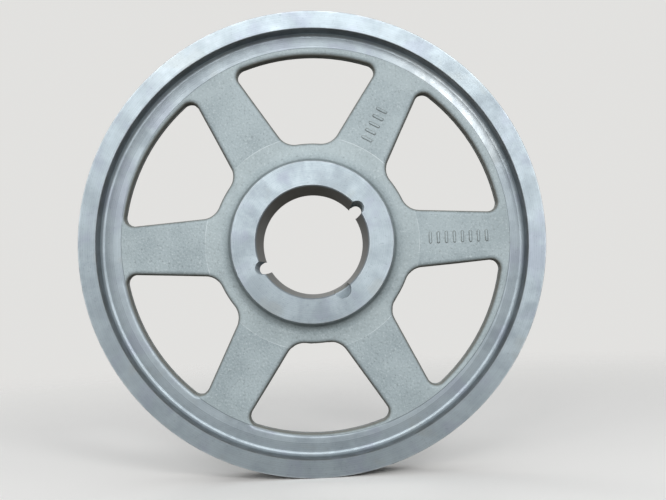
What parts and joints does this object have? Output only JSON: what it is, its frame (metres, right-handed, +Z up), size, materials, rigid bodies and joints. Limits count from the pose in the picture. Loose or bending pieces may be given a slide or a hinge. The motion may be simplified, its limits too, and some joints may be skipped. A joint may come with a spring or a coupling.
{
  "type": "v belt pulley",
  "caption": "Spoked cast-iron V-belt pulley with a grooved rim, flat arms, a central hub and an open tapered bore with screw half-holes.",
  "frame": {"origin": "on the pulley's axis, halfway across the rim, between the rim's two end faces", "axes": "+Y along the pulley's axis, from the side the bush goes in towards the back; +X along arm_1; +Z up"},
  "size_m": [0.3556, 0.0445, 0.3556],
  "materials": {
    "machined_iron": "turned, bare, with fine tool marks",
    "cast_surface": "bare, sandy as-cast"
  },
  "bodies": {
    "root": {"hub": "machined_iron", "hub_web": "cast_surface", "arm_1": "cast_surface", "arm_2": "cast_surface", "arm_3": "cast_surface", "arm_4": "cast_surface", "arm_5": "cast_surface", "arm_6": "cast_surface", "outer_web": "cast_surface", "rim": "machined_iron", "groove_wall_1": "machined_iron", "groove_wall_2": "machined_iron", "groove_wall_3": "machined_iron", "groove_wall_4": "machined_iron", "cast_mark_1": "cast_surface", "cast_mark_2": "cast_surface"}
  },
  "joints": []
}
